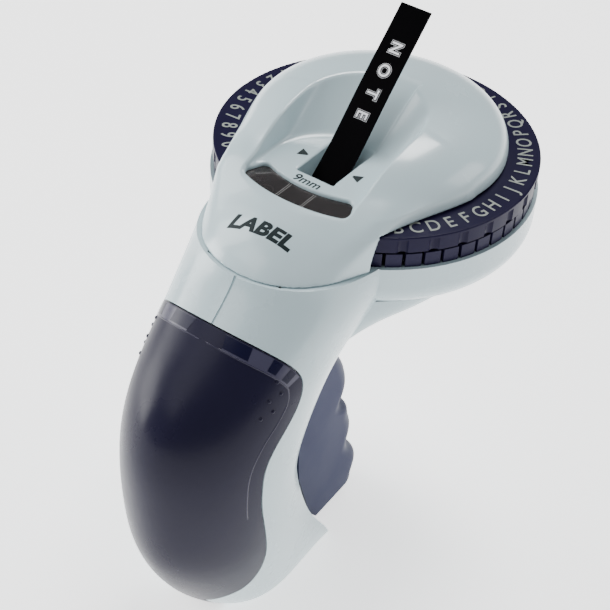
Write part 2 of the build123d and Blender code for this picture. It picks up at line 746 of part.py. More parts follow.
with BuildPart() as pawl_pin:
    add(rod((-52.0, -21.2), 0.8, 5.8, cheek_inner))
save(pawl_pin, "pawl_pin")

with BuildPart() as pressure_roller:
    add(rod(press_centre, press_radius, -4.6, 4.6))
    add(rod(press_centre, 1.03, -5, 5), mode=Mode.SUBTRACT)
save(pressure_roller, "pressure_roller")

with BuildPart() as pressure_pin:
    add(rod(press_centre, 0.98, -12.4, 12.4))
save(pressure_pin, "pressure_pin")

# ---------------------------------------------------------------- tape


def ribbon(points, tangents, thickness, half):
    """Flat strip across the object, following a smooth upright path in the dial frame."""
    with BuildPart(mode=Mode.PRIVATE) as strip:
        with BuildSketch(slice_at(-half)):
            with BuildLine():
                Spline(*points, tangents=tangents)
            trace(line_width=thickness)
        extrude(amount=-2 * half)
    return strip.part


tape_half = tape_width / 2
spool_exit = (spool_centre[0] + roll_radius + 0.35, spool_centre[1] + 2.0)
with BuildPart() as tape_run:
    run_path = [
        spool_exit, (-57.4, -38.0), (-54.3, -20.0), (-50.35, -10.3), (-46.8, -7.0), (-43.6, -5.1),
        (-40.5, tape_z), (-31.4, tape_z),
    ]
    add(ribbon(run_path, [(0.05, 1), (1, 0)], tape_thickness, tape_half))
save(tape_run, "tape_run")

tape_top = (13.1, 33.1)
with BuildPart() as label_tape:
    add(ribbon([(-28.6, -4.6), (-23.6, -2.2), (-15.0, 5.2), (-7.5, 13.0), tape_top],
               [(1, 0.1), (1, 0.97)], tape_thickness, tape_half))
save(label_tape, "label_tape")

hub_radius = 6.0
with BuildPart() as tape_roll:
    add(rod(spool_centre, roll_radius, -tape_half, tape_half))
    add(rod(spool_centre, hub_radius, -10, 10), mode=Mode.SUBTRACT)
save(tape_roll, "tape_roll")

with BuildPart() as tape_hub:
    add(rod(spool_centre, hub_radius - 0.01, -4.8, 6.6))
    add(rod(spool_centre, 9.0, -5.4, -4.7))
    add(rod(spool_centre, spool_post_radius + 0.06, -3.6, 10), mode=Mode.SUBTRACT)
save(tape_hub, "tape_hub")

# curved plate behind the tape, from the tape bay to the feed roller
with BuildPart() as tape_guide:
    guide_path = [(-62.0, -42.0), (-59.6, -34.0), (-57.6, -25.0), (-55.2, -17.6)]
    add(ribbon(guide_path, [(0.3, 1), (0.45, 1)], 0.9, 10.5))
save(tape_guide, "tape_guide")

# ---------------------------------------------------------------- tape door
with BuildPart() as tape_door:
    add(grip_solid(0))
    add(grip_hollow(), mode=Mode.SUBTRACT)
    add(door_zone(0), mode=Mode.INTERSECT)
with BuildPart() as door_tab:
    add(grip_solid(0.0))
    add(grip_hollow(), mode=Mode.SUBTRACT)
    tab_outline = [(-100.0, -100.0), (-74.0, -100.0), (-66.5, -108.0), (-64.4, -120.0), (-100.0, -120.0)]
    add(prism(tab_outline, -6.9, 6.9), mode=Mode.INTERSECT)
with tape_door:
    add(door_tab.part)
    add(rod(hinge_centre, 2.1, -6.9, 6.9))
    add(rod(hinge_centre, 1.29, -10, 10), mode=Mode.SUBTRACT)
save(tape_door, "tape_door")

with BuildPart() as hinge_pin:
    add(rod(hinge_centre, 1.24, -9.5, 9.5))
save(hinge_pin, "hinge_pin")

# ---------------------------------------------------------------- screws
with BuildPart() as case_screws:
    for place, reach in zip(screw_places, screw_reaches):
        add(rod(place, screw_radius - 0.01, -12.0, reach - 1.9))
        add(rod(place, 2.4, reach - 1.9, reach - 0.3))
save(case_screws, "case_screws")
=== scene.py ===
"""Hand-held embossing label maker: looks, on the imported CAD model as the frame."""

import math

import bmesh
import bpy
import numpy as np
from mathutils import Matrix, Vector
from mathutils.bvhtree import BVHTree


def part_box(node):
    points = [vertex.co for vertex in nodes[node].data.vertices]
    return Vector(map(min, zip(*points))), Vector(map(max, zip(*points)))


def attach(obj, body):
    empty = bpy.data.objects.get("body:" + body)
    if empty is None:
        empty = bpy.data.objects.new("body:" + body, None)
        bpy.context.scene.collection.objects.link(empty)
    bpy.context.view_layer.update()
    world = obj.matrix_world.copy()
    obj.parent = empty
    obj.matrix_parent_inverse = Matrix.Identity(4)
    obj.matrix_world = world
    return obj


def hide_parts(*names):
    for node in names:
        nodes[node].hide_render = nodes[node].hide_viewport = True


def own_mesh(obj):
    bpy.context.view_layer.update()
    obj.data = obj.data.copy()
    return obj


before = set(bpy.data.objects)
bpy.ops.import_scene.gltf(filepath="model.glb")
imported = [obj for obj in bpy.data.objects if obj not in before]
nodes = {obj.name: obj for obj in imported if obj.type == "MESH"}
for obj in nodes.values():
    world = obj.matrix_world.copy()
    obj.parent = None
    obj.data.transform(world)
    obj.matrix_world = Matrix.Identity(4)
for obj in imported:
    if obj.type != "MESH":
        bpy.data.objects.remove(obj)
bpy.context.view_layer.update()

MM = 0.001
DIAL = Vector((46.0, 0.0, 116.0))  # centre of the dial's top face, mm


def mm(x, y, z):
    """Point given from the dial's centre in mm, as metres in the row frame."""
    return (Vector((x, y, z)) + DIAL) * MM


# ---------------------------------------------------------------- materials
DRIFT_SCALE, RUB_SCALE, SCUFF_SCALE = 18.0, 55.0, 140.0  # noises, per metre
BUMP_DISTANCE = 0.0001  # metres
COAT_ROUGHNESS = 0.06


def new_material(name):
    """Material with one shader, its node tree and the shader."""
    material = bpy.data.materials.new(name)
    material.use_nodes = True
    tree = material.node_tree
    for node in list(tree.nodes):
        tree.nodes.remove(node)
    output = tree.nodes.new("ShaderNodeOutputMaterial")
    shader = tree.nodes.new("ShaderNodeBsdfPrincipled")
    tree.links.new(shader.outputs[0], output.inputs[0])
    return material, tree, shader


def noise(tree, scale, detail=4.0, rough=0.55, stretch=(1, 1, 1), seed=0.0):
    """Noise in the piece's own coordinates."""
    coords = tree.nodes.new("ShaderNodeTexCoord")
    mapping = tree.nodes.new("ShaderNodeMapping")
    mapping.inputs["Scale"].default_value = stretch
    mapping.inputs["Location"].default_value = (seed, seed * 0.7, -seed)
    texture = tree.nodes.new("ShaderNodeTexNoise")
    texture.inputs["Scale"].default_value = scale
    texture.inputs["Detail"].default_value = detail
    texture.inputs["Roughness"].default_value = rough
    tree.links.new(coords.outputs["Object"], mapping.inputs["Vector"])
    tree.links.new(mapping.outputs["Vector"], texture.inputs["Vector"])
    return texture.outputs["Fac"]


def ramp(tree, value, low, high, stops=(0.35, 0.65)):
    """Value mapped to a colour between two."""
    node = tree.nodes.new("ShaderNodeValToRGB")
    node.color_ramp.elements[0].position = stops[0]
    node.color_ramp.elements[1].position = stops[1]
    node.color_ramp.elements[0].color = (*low, 1)
    node.color_ramp.elements[1].color = (*high, 1)
    tree.links.new(value, node.inputs["Fac"])
    return node.outputs["Color"]


def spread(tree, value, low, high):
    """Middle of a noise, 0.3 to 0.7, mapped to a number between two."""
    node = tree.nodes.new("ShaderNodeMapRange")
    node.inputs["From Min"].default_value = 0.3
    node.inputs["From Max"].default_value = 0.7
    node.inputs["To Min"].default_value = low
    node.inputs["To Max"].default_value = high
    tree.links.new(value, node.inputs["Value"])
    return node.outputs["Result"]


def finish_material(name, color, rough, vary=0.05, grain=900.0, bump=0.05, metal=0.0, coat=0.0,
                    stretch=(1, 1, 1), glass=0.0, specular=0.5, wear=0.0, seed=0.0, ior=1.5):
    """Plastic or metal with slight drift of colour, roughness and a fine surface grain."""
    material, tree, shader = new_material(name)
    drift = noise(tree, DRIFT_SCALE, seed=seed)
    low = tuple(c * (1 - vary) for c in color)
    high = tuple(min(1.0, c * (1 + vary)) for c in color)
    base = ramp(tree, drift, low, high)
    if wear:
        scuffs = noise(tree, SCUFF_SCALE, detail=8.0, rough=0.7, stretch=(1, 1, 2.5), seed=seed + 3)
        mask = ramp(tree, scuffs, (0, 0, 0), (1, 1, 1), (0.68, 0.76))
        mix = tree.nodes.new("ShaderNodeMix")
        mix.data_type = "RGBA"
        worn = [min(1.0, c * (1 + wear) + wear * 0.03) for c in color]
        mix.inputs["B"].default_value = (*worn, 1)
        tree.links.new(base, mix.inputs["A"])
        tree.links.new(mask, mix.inputs["Factor"])
        base = mix.outputs["Result"]
    tree.links.new(base, shader.inputs["Base Color"])
    rub = noise(tree, RUB_SCALE, detail=6.0, stretch=stretch, seed=seed + 7)
    tree.links.new(spread(tree, rub, rough * 0.82, rough * 1.18), shader.inputs["Roughness"])
    fine = noise(tree, grain, detail=2.0, stretch=stretch, seed=seed + 11)
    bumps = tree.nodes.new("ShaderNodeBump")
    bumps.inputs["Strength"].default_value = bump
    bumps.inputs["Distance"].default_value = BUMP_DISTANCE
    tree.links.new(fine, bumps.inputs["Height"])
    tree.links.new(bumps.outputs["Normal"], shader.inputs["Normal"])
    shader.inputs["Metallic"].default_value = metal
    shader.inputs["Coat Weight"].default_value = coat
    shader.inputs["Coat Roughness"].default_value = COAT_ROUGHNESS
    shader.inputs["Transmission Weight"].default_value = glass
    shader.inputs["Specular IOR Level"].default_value = specular
    shader.inputs["IOR"].default_value = ior
    return material


SHELL = finish_material("shell_plastic", (0.46, 0.585, 0.62), 0.27, vary=0.012, bump=0.03,
                        coat=0.25, seed=1)
COVER = finish_material("cover_plastic", (0.495, 0.62, 0.655), 0.24, vary=0.012, bump=0.025,
                        coat=0.3, seed=2)
DIAL_MAT = finish_material("dial_plastic", (0.0085, 0.0065, 0.028), 0.34, vary=0.1, bump=0.1,
                           specular=0.1, wear=0.1, seed=3)
WHEEL = finish_material("wheel_plastic", (0.012, 0.01, 0.036), 0.4, vary=0.1, bump=0.1,
                        specular=0.12, wear=0.1, seed=4)
DOOR = finish_material("door_plastic", (0.011, 0.01, 0.026), 0.3, vary=0.08, bump=0.03,
                       specular=0.13, seed=5)
DOOR_BAND = finish_material("door_thin_band", (0.05, 0.048, 0.082), 0.25, vary=0.1, bump=0.06,
                            specular=0.35, seed=6)
DOOR_DARK = finish_material("door_catch_shade", (0.005, 0.005, 0.024), 0.25, vary=0.1, bump=0.05,
                            specular=0.2, seed=20)
# The door's raised lip is coloured lighter than the door: a painted highlight along its edge.
DOOR_LIP_HIGHLIGHT = finish_material("door_lip_highlight", (0.024, 0.022, 0.046), 0.25, vary=0.08, bump=0.05,
                             specular=0.3, seed=21)
LENS = finish_material("lens_plastic", (0.2, 0.18, 0.18), 0.1, vary=0.06, bump=0.02, specular=0.35,
                       glass=0.9, seed=7, ior=1.42)
TRIGGER = finish_material("trigger_plastic", (0.034, 0.038, 0.08), 0.42, vary=0.06, bump=0.09,
                          specular=0.05, wear=0.1, seed=8)
ACETAL = finish_material("acetal", (0.78, 0.77, 0.7), 0.36, vary=0.03, bump=0.05, seed=9)
STEEL = finish_material("turned_steel", (0.58, 0.58, 0.59), 0.26, vary=0.06, bump=0.2, metal=1.0,
                        stretch=(1, 1, 14), seed=10)
ZINC = finish_material("zinc_plate", (0.6, 0.61, 0.58), 0.34, vary=0.08, bump=0.12, metal=1.0,
                       seed=11)
SPRING = finish_material("spring_steel", (0.36, 0.36, 0.37), 0.3, vary=0.08, bump=0.1, metal=1.0,
                         seed=12)
RUBBER = finish_material("roller_rubber", (0.025, 0.025, 0.026), 0.72, vary=0.12, bump=0.4, seed=13)
TAPE = finish_material("tape_vinyl", (0.0012, 0.001, 0.0015), 0.3, vary=0.2, bump=0.04,
                       specular=0.015, seed=14)
HUB = finish_material("hub_plastic", (0.66, 0.66, 0.62), 0.42, vary=0.04, bump=0.08, seed=15)
PRINT = finish_material("dark_ink", (0.01, 0.018, 0.02), 0.5, vary=0.15, specular=0.2, grain=2500.0,
                        bump=0.15, seed=16)
LETTER = finish_material("silver_ink", (0.25, 0.275, 0.25), 0.5, vary=0.1, grain=2500.0, bump=0.2,
                         seed=17)
WHITED = finish_material("stretched_vinyl", (0.86, 0.87, 0.9), 0.5, vary=0.06, grain=2500.0,
                         bump=0.3, seed=18)
FINE_LINE = finish_material("pale_line", (0.3, 0.3, 0.29), 0.4, vary=0.08, bump=0.1, seed=19)

NODE_MATERIALS = {
    "right_shell": SHELL, "left_shell": SHELL, "top_cover": COVER, "window_lens": LENS,
    "letter_dial": DIAL_MAT, "die_wheel": WHEEL, "embossing_dies": LETTER, "cutter_blade": STEEL,
    "dial_axle": STEEL, "base_frame": ZINC, "case_screws": ZINC, "detent_ball": STEEL,
    "detent_cup": ACETAL, "detent_spring": SPRING, "feed_axle": STEEL, "feed_pawl": ACETAL,
    "feed_roller": RUBBER, "hammer_lever": ZINC, "hammer_pin": STEEL, "hinge_pin": STEEL,
    "label_tape": TAPE, "pawl_pin": STEEL, "pinion_shaft": STEEL, "pressure_pin": STEEL,
    "pressure_roller": RUBBER, "punch": STEEL, "ratchet_wheel": ACETAL, "retaining_ring": SPRING,
    "sync_pinion": ACETAL, "tape_door": DOOR, "tape_guide": ACETAL, "tape_hub": HUB,
    "tape_roll": TAPE, "tape_run": TAPE, "trigger": TRIGGER, "trigger_pin": STEEL,
    "trigger_spring": SPRING,
}
for node_name, node_object in nodes.items():
    node_object.data.materials.clear()
    node_object.data.materials.append(NODE_MATERIALS[node_name])


# ---------------------------------------------------------------- mesh helpers
def mesh_object(name, vertices, faces, material, smooth=True):
    """Object made from corners in metres and faces."""
    data = bpy.data.meshes.new(name)
    data.from_pydata([tuple(v) for v in vertices], [], [tuple(f) for f in faces])
    data.update()
    data.materials.append(material)
    if smooth:
        data.shade_smooth()
    obj = bpy.data.objects.new(name, data)
    bpy.context.scene.collection.objects.link(obj)
    return obj


def frame_matrix(origin, right, up):
    """Matrix of a plane: local X right, Y up, Z out of it."""
    x = Vector(right).normalized()
    z = x.cross(Vector(up)).normalized()
    y = z.cross(x)
    return Matrix.Translation(origin) @ Matrix((x, y, z)).transposed().to_4x4()


def text_mesh(name, body, size, depth, material, weight=0.0, spacing=1.0, shear=0.0):
    """Text as a mesh, centred on its own middle, lying in XY; sizes in mm."""
    curve = bpy.data.curves.new(name, "FONT")
    curve.body = body
    curve.size = size * MM
    curve.extrude = depth * MM / 2
    curve.offset = weight * MM
    curve.space_character = spacing
    curve.shear = shear
    curve.resolution_u = 6
    curve.align_x = "CENTER"
    curve.align_y = "CENTER"
    holder = bpy.data.objects.new(name + "_curve", curve)
    bpy.context.scene.collection.objects.link(holder)
    depsgraph = bpy.context.evaluated_depsgraph_get()
    data = bpy.data.meshes.new_from_object(holder.evaluated_get(depsgraph))
    bpy.data.objects.remove(holder)
    bpy.data.curves.remove(curve)
    data.name = name
    data.materials.clear()
    data.materials.append(material)
    obj = bpy.data.objects.new(name, data)
    bpy.context.scene.collection.objects.link(obj)
    return obj


def bake(obj, matrix):
    """Puts a placement into the mesh, so the piece sits at the origin."""
    obj.data.transform(matrix)
    obj.data.update()
    return obj


def join_meshes(name, objects):
    """One object out of several meshes that are already in place."""
    vertices, faces = [], []
    for obj in objects:
        start = len(vertices)
        vertices += [v.co.copy() for v in obj.data.vertices]
        faces += [[start + i for i in p.vertices] for p in obj.data.polygons]
    material = objects[0].data.materials[0]
    for obj in objects:
        bpy.data.objects.remove(obj)
    return mesh_object(name, vertices, faces, material, smooth=False)


# ---------------------------------------------------------------- implicit surfaces
def smooth_min(a, b, k):
    """Smaller of two fields, rounded where they cross over a width of k."""
    h = np.clip(0.5 + 0.5 * (b - a) / k, 0, 1)
    return b + (a - b) * h - k * h * (1 - h)


def smooth_max(a, b, k):
    """Larger of two fields, rounded in the same way."""
    return -smooth_min(-a, -b, k)


def surface_net(field, low, high, step):
    """Vertices and quads of the surface field = 0 (negative inside), moved on to it at the end."""
    axes = [np.arange(a, b + step, step) for a, b in zip(low, high)]
    grid = np.stack(np.meshgrid(*axes, indexing="ij"), -1)
    value = field(grid[..., 0], grid[..., 1], grid[..., 2])
    cells = tuple(n - 1 for n in value.shape)
    total = np.zeros((*cells, 3))
    count = np.zeros(cells)
    quads = []
    for axis in range(3):
        u, v = (axis + 1) % 3, (axis + 2) % 3
        first = [slice(None)] * 3
        second = [slice(None)] * 3
        first[axis] = slice(0, -1)
        second[axis] = slice(1, None)
        start, end = value[tuple(first)], value[tuple(second)]
        edges = np.argwhere((start < 0) != (end < 0))
        inner = ((edges[:, u] > 0) & (edges[:, u] < value.shape[u] - 1)
                 & (edges[:, v] > 0) & (edges[:, v] < value.shape[v] - 1))
        edges = edges[inner]
        start, end = start[tuple(edges.T)], end[tuple(edges.T)]
        point = grid[tuple(edges.T)].copy()
        point[:, axis] += start / (start - end) * step
        ring = []
        for du, dv in ((0, 0), (-1, 0), (-1, -1), (0, -1)):
            cell = edges.copy()
            cell[:, u] += du
            cell[:, v] += dv
            np.add.at(total, tuple(cell.T), point)
            np.add.at(count, tuple(cell.T), 1)
            ring.append(np.ravel_multi_index(tuple(cell.T), cells))
        ring = np.stack(ring, 1)
        ring[start >= 0] = ring[start >= 0][:, ::-1]
        quads.append(ring)
    used, faces = np.unique(np.concatenate(quads), return_inverse=True)
    faces = faces.reshape(-1, 4)
    points = total.reshape(-1, 3)[used] / count.reshape(-1)[used][:, None]
    reach = step * 0.2
    for _ in range(3):
        here = field(*points.T)
        slope = np.stack([
            (field(*(points + offset).T) - field(*(points - offset).T)) / (2 * reach)
            for offset in np.eye(3) * reach
        ], 1)
        move = -here[:, None] * slope / np.maximum((slope ** 2).sum(1), 0.05)[:, None]
        size = np.linalg.norm(move, axis=1)
        points += move * np.minimum(1, 0.5 * step / np.maximum(size, 1e-9))[:, None]
    return points, faces


def implicit_piece(name, field, low, high, step, material):
    """Piece from a field given in mm from the dial's centre."""
    points, faces = surface_net(field, low, high, step)
    points = (points + np.array(DIAL)) * MM
    data = bpy.data.meshes.new(name)
    data.vertices.add(len(points))
    data.vertices.foreach_set("co", points.ravel())
    data.loops.add(faces.size)
    data.loops.foreach_set("vertex_index", faces.ravel())
    data.polygons.add(len(faces))
    data.polygons.foreach_set("loop_start", np.arange(0, faces.size, 4))
    data.polygons.foreach_set("loop_total", np.full(len(faces), 4))
    data.update(calc_edges=True)
    data.validate()
    data.materials.append(material)
    data.shade_smooth()
    obj = bpy.data.objects.new(name, data)
    bpy.context.scene.collection.objects.link(obj)
    return obj


def curve_through(points):
    """Lookup table of a smooth curve through points, level where the points turn back."""
    xs, ys = np.array(points, float).T
    slopes = np.diff(ys) / np.diff(xs)
    tangents = np.concatenate([[slopes[0]], (slopes[1:] + slopes[:-1]) / 2, [slopes[-1]]])
    tangents[1:-1][slopes[1:] * slopes[:-1] <= 0] = 0
    table_x = np.linspace(xs[0], xs[-1], 600)
    span = np.clip(np.searchsorted(xs, table_x) - 1, 0, len(xs) - 2)
    width = np.diff(xs)[span]
    t = (table_x - xs[span]) / width
    table_y = ((2 * t ** 3 - 3 * t ** 2 + 1) * ys[span]
               + (t ** 3 - 2 * t ** 2 + t) * width * tangents[span]
               + (3 * t ** 2 - 2 * t ** 3) * ys[span + 1]
               + (t ** 3 - t ** 2) * width * tangents[span + 1])
    return table_x, table_y


# ---------------------------------------------------------------- top cover
# Everything here is in mm from the centre of the dial's top face; x points to the front.
SEAM = -8.9
COVER_BLEND = 2.6
COVER_WALL = 1.9
COVER_LOW, COVER_HIGH = (-63, -39, -10), (36, 39, 16)
CAP_FRONT = -7.5
DOME_RADIUS, DOME_HEIGHT, DOME_POWER = 34.3, 14.4, 2.6
COVER_TOP = curve_through([
    (-66, -15.5), (-60.3, -8.9), (-56, -4.2), (-51.2, -0.7), (-47.5, 1.0), (-44, 2.2), (-38, 4.3),
    (-30, 6.9), (-20, 9.6), (-8, 12), (10, 13.5)])
COVER_CROWN = curve_through([
    (-66, 0.024), (-60, 0.024), (-52, 0.023), (-44, 0.0125), (-36, 0.0045), (-28, 0.003),
    (10, 0.002)])
OUTLINE_HEIGHTS = [SEAM, 0.0, 3.5, 8.0, 13.0]
COVER_OUTLINES = [curve_through(points) for points in (
    [(0, -60.3), (6, -59.7), (12, -57.2), (17.4, -52.9), (24.3, -38.5), (28, -30), (31.5, -20),
     (34.5, -6), (38, 8)],
    [(0, -57.5), (8, -56.2), (14, -53), (17.6, -47.5), (20.9, -42.4), (24.5, -36.2), (26.6, -29),
     (29.6, -20.5), (33.4, -7), (38, 9)],
    [(0, -55), (8, -53.2), (13.5, -49), (17.8, -44.2), (23.2, -36.2), (25.9, -28.4), (28.8, -19.8),
     (32.4, -6), (38, 10)],
    [(0, -46), (6, -44.8), (12, -40.2), (17, -32.5), (21, -25), (26.5, -12), (31, 1), (38, 16)],
    [(0, -35), (5, -34), (9, -31), (13, -25), (17.5, -16), (22, -6), (28, 8), (38, 24)],
)]
# The scoop's half width grows with height, and its front wall leans and bows forwards.
SCOOP_FLOOR = 3.0
SCOOP_HALF, SCOOP_WIDENING = 15.7, 0.1
SCOOP_FRONT, SCOOP_LEAN, SCOOP_BOW = -8.8, 1.78, 0.022
# The channel is as wide as the slot, and its floor rises to the front.
CHANNEL_FRONT, CHANNEL_BACK = -9.6, -26
CHANNEL_SINE, CHANNEL_COSINE = 0.484, 0.875
SLOT_HALF, SLOT_BACK, SLOT_FRONT, SLOT_TOP = 5.6, -28.4, -9.2, 4.2
# The window is a piece of a ring round the dial's centre.
WINDOW_MIDDLE, WINDOW_HALF, WINDOW_ANGLE = 36.7, 3.6, math.radians(23.6)
WINDOW_CORNER = 1.9
# The chute's slide goes through (CHUTE_X, CHUTE_Z).
CHUTE_X, CHUTE_Z, CHUTE_SLOPE = -27.6, -4.95, 0.4417
CHUTE_HALF, CHUTE_BACK, CHUTE_FRONT, CHUTE_TOP = 6.9, -27.7, -8.8, 3.1
CHUTE_FLOOR = 1.1
# Room for the dial's ring, and the front end of the skirt below it.
RING_ROOM_RADIUS, RING_ROOM_TOP = 43.15, 0.35
SKIRT_FRONT, SKIRT_LEAN, SKIRT_BOW, SKIRT_MIDDLE, SKIRT_TOP = -36.0, 0.3, 0.02, -4.5, 0.4


def dome_field(x, y, z):
    """Dome over the wheel."""
    r = np.hypot(x, y) / DOME_RADIUS
    h = np.maximum(z, 0) / DOME_HEIGHT
    n = DOME_POWER
    s = np.maximum((r ** n + h ** n) ** (1 / n), 1e-4)
    slope = np.hypot((r / s) ** (n - 1) / DOME_RADIUS, (h / s) ** (n - 1) / DOME_HEIGHT)
    return (s - 1) / np.maximum(slope, 0.01)


def cap_field(x, y, z):
    """Cap behind the dome: outlines at five heights under a curved top."""
    side = np.abs(y)
    back = [np.interp(side, *table) for table in COVER_OUTLINES]
    slope = [np.interp(side, table[0], np.gradient(table[1], table[0])) for table in COVER_OUTLINES]
    edge, lean = back[0], slope[0]
    for index in range(1, len(back)):
        low, high = OUTLINE_HEIGHTS[index - 1:index + 1]
        t = np.clip((z - low) / (high - low), 0, 1)
        edge = edge + (back[index] - back[index - 1]) * t
        lean = lean + (slope[index] - slope[index - 1]) * t
    outline = (edge - x) / np.sqrt(1 + lean ** 2 + 0.35)
    top = z - np.interp(x, *COVER_TOP) + np.interp(x, *COVER_CROWN) * y ** 2
    tilt = np.interp(x, COVER_TOP[0], np.gradient(COVER_TOP[1], COVER_TOP[0]))
    top = top / np.sqrt(1 + tilt ** 2 + (2 * np.interp(x, *COVER_CROWN) * y) ** 2)
    return smooth_max(smooth_max(outline, top, COVER_BLEND), x - CAP_FRONT, 2.0)


def scoop_field(x, y, z):
    """Negative inside the scoop."""
    rise = np.clip(z - SCOOP_FLOOR, -2, 16)
    half = SCOOP_HALF + SCOOP_WIDENING * rise
    front = SCOOP_FRONT + SCOOP_LEAN * rise - SCOOP_BOW * rise ** 2
    along = np.maximum(x - (front - half), 0)
    around = np.hypot(along, y)
    lean = np.where(around > 0, along / np.maximum(around, 1e-6), 0)
    lean = lean * (SCOOP_LEAN - 2 * SCOOP_BOW * rise)
    wall = (around - half) / np.sqrt(1 + lean ** 2)
    return smooth_max(wall, SCOOP_FLOOR - z, 1.0)


def channel_field(x, y, z):
    """Negative inside the tape's channel up the scoop's front wall."""
    above = CHANNEL_SINE * (x - CHANNEL_FRONT) - CHANNEL_COSINE * (z - SCOOP_FLOOR)
    return smooth_max(smooth_max(np.abs(y) - SLOT_HALF, above, 0.7), CHANNEL_BACK - x, 0.5)


def slot_field(x, y, z):
    """Negative inside the slot that the label comes out of."""
    ends = np.maximum(SLOT_BACK - x, x - SLOT_FRONT)
    return smooth_max(smooth_max(ends, np.abs(y) - SLOT_HALF, 0.5), z - SLOT_TOP, 0.3)


def window_field(x, y):
    """Negative inside the window, at every height."""
    r = np.hypot(x, y)
    angle = np.arctan2(y, -x)
    across = np.abs(r - WINDOW_MIDDLE) - WINDOW_HALF + WINDOW_CORNER
    along = (np.abs(angle) - WINDOW_ANGLE) * WINDOW_MIDDLE + WINDOW_CORNER
    outside = np.hypot(np.maximum(across, 0), np.maximum(along, 0))
    return outside + np.minimum(np.maximum(across, along), 0) - WINDOW_CORNER


def chute_field(x, y, z):
    """Ramp with side walls under the label, inside the slot."""
    slide = (z - CHUTE_Z - CHUTE_SLOPE * (x - CHUTE_X)) / math.hypot(1, CHUTE_SLOPE)
    ends = np.maximum(CHUTE_BACK - x, x - CHUTE_FRONT)
    block = smooth_max(smooth_max(np.abs(y) - CHUTE_HALF, ends, 0.3), z - CHUTE_TOP, 0.2)
    block = smooth_max(block, -(slide + CHUTE_FLOOR), 0.3)
    return smooth_max(block, -smooth_max(np.abs(y) - SLOT_HALF, -slide, 0.5), 0.3)


def cover_field(x, y, z):
    """The cover: a shell with the scoop, the slot with its chute, and the window."""
    outer = smooth_min(dome_field(x, y, z), cap_field(x, y, z), COVER_BLEND)
    outer = smooth_max(outer, -scoop_field(x, y, z), 0.9)
    outer = smooth_max(outer, -channel_field(x, y, z), 0.8)
    shell = smooth_max(outer, -(outer + COVER_WALL), 0.3)
    shell = smooth_max(shell, -slot_field(x, y, z), 0.5)
    shell = smooth_max(shell, -window_field(x, y), 0.9)
    ring_room = smooth_max(np.hypot(x, y) - RING_ROOM_RADIUS, z - RING_ROOM_TOP, 0.3)
    shell = smooth_max(shell, -ring_room, 0.35)
    skirt_end = SKIRT_FRONT + SKIRT_LEAN * z + SKIRT_BOW * (z - SKIRT_MIDDLE) ** 2
    shell = smooth_max(shell, -smooth_max(skirt_end - x, z - SKIRT_TOP, 0.3), 0.35)
    shell = np.minimum(shell, chute_field(x, y, z))
    return smooth_max(shell, SEAM + 0.15 - z, 0.3)


cover_step = 0.4
cover = implicit_piece("cover", cover_field, COVER_LOW, COVER_HIGH, cover_step, COVER)
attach(cover, "casing")
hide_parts("top_cover")


# ---------------------------------------------------------------- print on the cover
HIGHEST, LOWEST, HALVINGS = 16.0, -9.0, 24
PRINT_LIFT = 0.03
PRINT_BLEND = 1.5  # rounding of the scoop's rim
PRINT_EDGE, PRINT_CUTS = 0.9, 2  # longest edge that stays whole, times of cutting


def cover_height(x, y):
    """Height of the cover's top surface at each place, by halving."""
    high, low = np.full(len(x), HIGHEST), np.full(len(x), LOWEST)
    for _ in range(HALVINGS):
        middle = (high + low) / 2
        value = smooth_min(dome_field(x, y, middle), cap_field(x, y, middle), COVER_BLEND)
        value = smooth_max(value, -scoop_field(x, y, middle), PRINT_BLEND)
        high = np.where(value > 0, middle, high)
        low = np.where(value > 0, low, middle)
    return high


def lay_on_cover(obj, x, y, turn):
    """Lays a flat mesh, drawn in XY, on the cover: its up direction points at turn degrees."""
    up = Vector((math.cos(math.radians(turn)), math.sin(math.radians(turn)), 0))
    right = Vector((up.y, -up.x, 0))
    flat = np.array([v.co for v in obj.data.vertices]) / MM
    px = x + flat[:, 0] * right.x + flat[:, 1] * up.x
    py = y + flat[:, 0] * right.y + flat[:, 1] * up.y
    height = cover_height(px, py) + PRINT_LIFT + flat[:, 2]
    placed = (np.stack([px, py, height], 1) + np.array(DIAL)) * MM
    obj.data.vertices.foreach_set("co", placed.ravel())
    obj.data.update()
    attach(obj, "casing")


def finer(obj):
    """More vertices in a flat mesh, so that it can follow a curved face."""
    mesh = bmesh.new()
    mesh.from_mesh(obj.data)
    bmesh.ops.triangulate(mesh, faces=mesh.faces[:])
    for _ in range(PRINT_CUTS):
        long_edges = [e for e in mesh.edges if e.calc_length() > PRINT_EDGE * MM]
        if long_edges:
            bmesh.ops.subdivide_edges(mesh, edges=long_edges, cuts=1)
            bmesh.ops.triangulate(mesh, faces=mesh.faces[:])
    mesh.to_mesh(obj.data)
    mesh.free()
    return obj


MARK_STRETCH = 1.38
ARROW_SIDE, ARROW_END = 1.6 * MM, 1.5 * MM
mark = text_mesh("cover_mark", "LABEL", 4.6, 0.02, PRINT, weight=0.22, spacing=1.04, shear=0.2)
finer(mark).data.transform(Matrix.Diagonal((MARK_STRETCH, 1.0, 1.0, 1.0)))
lay_on_cover(mark, -50.3, 0.3, 3)
width_text = text_mesh("width_print", "9mm", 3.9, 0.02, PRINT, weight=0.07, shear=0.1)
lay_on_cover(finer(width_text), -31.2, 0.4, 0)
for number, (x, y, turn) in enumerate(((-21.5, 8.1, -90), (-21.9, -7.9, 90))):
    corners = [(-ARROW_SIDE, -ARROW_END, 0), (ARROW_SIDE, -ARROW_END, 0), (0, ARROW_END, 0)]
    arrow = mesh_object("arrow_%d" % number, corners, [(0, 1, 2)], PRINT, smooth=False)
    lay_on_cover(arrow, x, y, turn)


# ---------------------------------------------------------------- door details
def tree_of(node):
    """Ray-casting tree of a CAD node's mesh at rest."""
    obj = nodes[node]
    vertices = [obj.matrix_world @ v.co for v in obj.data.vertices]
    return BVHTree.FromPolygons(vertices, [list(p.vertices) for p in obj.data.polygons])


